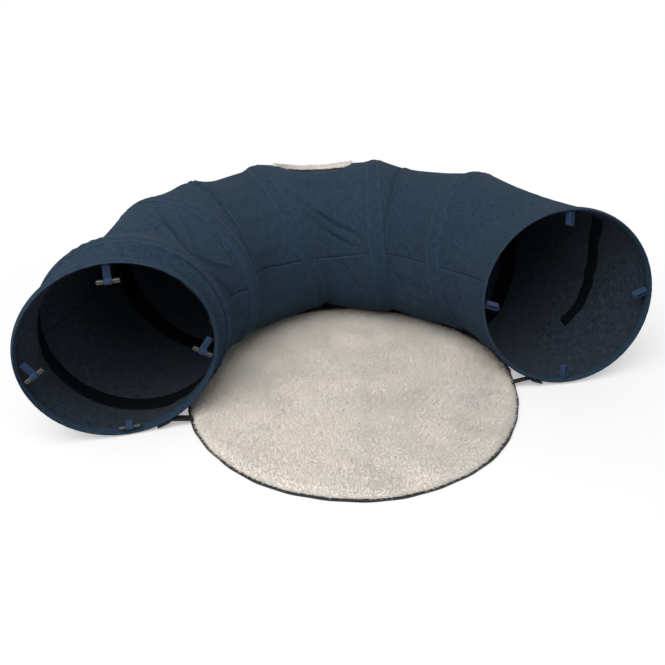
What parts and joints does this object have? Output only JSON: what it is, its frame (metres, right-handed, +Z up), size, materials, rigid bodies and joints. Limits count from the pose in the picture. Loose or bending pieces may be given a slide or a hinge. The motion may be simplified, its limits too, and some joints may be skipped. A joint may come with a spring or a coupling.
{
  "type": "cat tunnel",
  "caption": "Curved fabric cat tunnel on sprung hoops, open at both ends, with a peephole in its roof and a round plush mat lying in its bend.",
  "frame": {"origin": "on the floor at the centre of the ring that the tunnel follows", "axes": "+Z up, +Y towards the closed back of the bend, +X towards the mouth with the loops; both mouths open towards -Y"},
  "size_m": [0.8466, 0.6378, 0.2545],
  "materials": {
    "tunnel_cloth": "woven navy polyester, matt",
    "channel_cloth": "woven navy polyester, double stitched",
    "spring_steel": "bare spring wire",
    "plush": "short warm grey pile",
    "base_cloth": "thin black woven cloth",
    "wadding": "loose polyester wadding",
    "hook_and_loop": "black hook-and-loop tape",
    "webbing": "blue woven webbing",
    "toggle_bar": "dark moulded plastic"
  },
  "bodies": {
    "hoop_4": {"hoop_channel_4": "channel_cloth", "hoop_wire_4": "spring_steel", "hoop_ferrule_4": "spring_steel", "upper_panel_3": "tunnel_cloth", "lower_panel_3": "tunnel_cloth", "upper_panel_4": "tunnel_cloth", "lower_panel_4": "tunnel_cloth", "peephole_facing": "plush", "tunnel_patch_back": "hook_and_loop"},
    "hoop_3": {"hoop_channel_3": "channel_cloth", "hoop_wire_3": "spring_steel", "hoop_ferrule_3": "spring_steel", "upper_panel_2": "tunnel_cloth", "lower_panel_2": "tunnel_cloth"},
    "hoop_2": {"hoop_channel_2": "channel_cloth", "hoop_wire_2": "spring_steel", "hoop_ferrule_2": "spring_steel", "upper_panel_1": "tunnel_cloth", "lower_panel_1": "tunnel_cloth"},
    "hoop_1": {"mouth_hem_1": "channel_cloth", "hoop_wire_1": "spring_steel", "hoop_ferrule_1": "spring_steel", "tunnel_patch_left": "hook_and_loop"},
    "hoop_5": {"hoop_channel_5": "channel_cloth", "hoop_wire_5": "spring_steel", "hoop_ferrule_5": "spring_steel", "upper_panel_5": "tunnel_cloth", "lower_panel_5": "tunnel_cloth"},
    "hoop_6": {"hoop_channel_6": "channel_cloth", "hoop_wire_6": "spring_steel", "hoop_ferrule_6": "spring_steel", "upper_panel_6": "tunnel_cloth", "lower_panel_6": "tunnel_cloth"},
    "hoop_7": {"mouth_hem_7": "channel_cloth", "hoop_wire_7": "spring_steel", "hoop_ferrule_7": "spring_steel", "tunnel_patch_right": "hook_and_loop", "end_loop_top": "webbing", "end_loop_outer": "webbing", "end_loop_bottom": "webbing", "end_loop_inner": "webbing"},
    "mat": {"mat_base": "base_cloth", "mat_plush": "plush", "mat_wadding": "wadding", "mat_tab_left": "hook_and_loop", "mat_tab_back": "hook_and_loop", "mat_tab_right": "hook_and_loop"},
    "strap_top": {"toggle_strap_top": "webbing"},
    "bar_top": {"toggle_bar_top": "toggle_bar"},
    "strap_outer": {"toggle_strap_outer": "webbing"},
    "bar_outer": {"toggle_bar_outer": "toggle_bar"},
    "strap_bottom": {"toggle_strap_bottom": "webbing"},
    "bar_bottom": {"toggle_bar_bottom": "toggle_bar"},
    "strap_inner": {"toggle_strap_inner": "webbing"},
    "bar_inner": {"toggle_bar_inner": "toggle_bar"}
  },
  "joints": [
    {"name": "fold_left_inner", "type": "hinge", "parent": "hoop_4", "child": "hoop_3", "pos_m": [0, 0, 0], "axis": [0, 0, -1], "range_deg": [0, 29], "deforming": ["upper_panel_3", "lower_panel_3"]},
    {"name": "fold_left_middle", "type": "hinge", "parent": "hoop_3", "child": "hoop_2", "pos_m": [0, 0, 0], "axis": [0, 0, -1], "range_deg": [0, 21], "deforming": ["upper_panel_2", "lower_panel_2"]},
    {"name": "fold_left_mouth", "type": "hinge", "parent": "hoop_2", "child": "hoop_1", "pos_m": [0, 0, 0], "axis": [0, 0, -1], "range_deg": [-18, 5], "deforming": ["upper_panel_1", "lower_panel_1"]},
    {"name": "fold_right_inner", "type": "hinge", "parent": "hoop_4", "child": "hoop_5", "pos_m": [0, 0, 0], "axis": [0, 0, 1], "range_deg": [0, 20], "deforming": ["upper_panel_4", "lower_panel_4", "peephole_facing"]},
    {"name": "fold_right_middle", "type": "hinge", "parent": "hoop_5", "child": "hoop_6", "pos_m": [0, 0, 0], "axis": [0, 0, 1], "range_deg": [0, 24], "deforming": ["upper_panel_5", "lower_panel_5"]},
    {"name": "fold_right_mouth", "type": "hinge", "parent": "hoop_6", "child": "hoop_7", "pos_m": [0, 0, 0], "axis": [0, 0, 1], "range_deg": [0, 28], "deforming": ["upper_panel_6", "lower_panel_6"]},
    {"name": "toggle_swing_top", "type": "hinge", "parent": "hoop_1", "child": "strap_top", "pos_m": [-0.30568, -0.08765, 0.24683], "axis": [-0.9613, -0.2756, 0], "range_deg": [-60, 75], "deforming": ["toggle_strap_top"]},
    {"name": "toggle_tilt_top", "type": "hinge", "parent": "strap_top", "child": "bar_top", "pos_m": [-0.30472, -0.09102, 0.22633], "axis": [0.2756, -0.9613, 0], "range_deg": [-60, 60], "deforming": ["toggle_strap_top"]},
    {"name": "toggle_swing_outer", "type": "hinge", "parent": "hoop_1", "child": "strap_outer", "pos_m": [-0.41709, -0.1196, 0.127], "axis": [-0.7874, -0.2258, -0.5736], "range_deg": [-25, 85], "deforming": ["toggle_strap_outer"]},
    {"name": "toggle_tilt_outer", "type": "hinge", "parent": "strap_outer", "child": "bar_outer", "pos_m": [-0.40482, -0.11972, 0.11021], "axis": [0.2756, -0.9613, 0], "range_deg": [-60, 60], "deforming": ["toggle_strap_outer"]},
    {"name": "toggle_swing_bottom", "type": "hinge", "parent": "hoop_1", "child": "strap_bottom", "pos_m": [-0.31037, -0.07131, 0.00777], "axis": [-0.9613, -0.2756, 0], "range_deg": [0, 90], "deforming": ["toggle_strap_bottom"]},
    {"name": "toggle_tilt_bottom", "type": "hinge", "parent": "strap_bottom", "child": "bar_bottom", "pos_m": [-0.30472, -0.09102, 0.01127], "axis": [0, 0, 1], "range_deg": [-60, 60], "deforming": ["toggle_strap_bottom"]},
    {"name": "toggle_swing_inner", "type": "hinge", "parent": "hoop_1", "child": "strap_inner", "pos_m": [-0.19428, -0.05571, 0.127], "axis": [-0.7874, -0.2258, 0.5736], "range_deg": [-50, 85], "deforming": ["toggle_strap_inner"]},
    {"name": "toggle_tilt_inner", "type": "hinge", "parent": "strap_inner", "child": "bar_inner", "pos_m": [-0.20461, -0.06231, 0.11021], "axis": [0.2756, -0.9613, 0], "range_deg": [-60, 60], "deforming": ["toggle_strap_inner"]},
    {"name": "mat_slide", "type": "slide", "parent": "hoop_4", "child": "mat", "axis": [0, -1, 0], "range_m": [0, 0.4], "deforming": ["mat_tab_left", "mat_tab_back", "mat_tab_right"]}
  ]
}
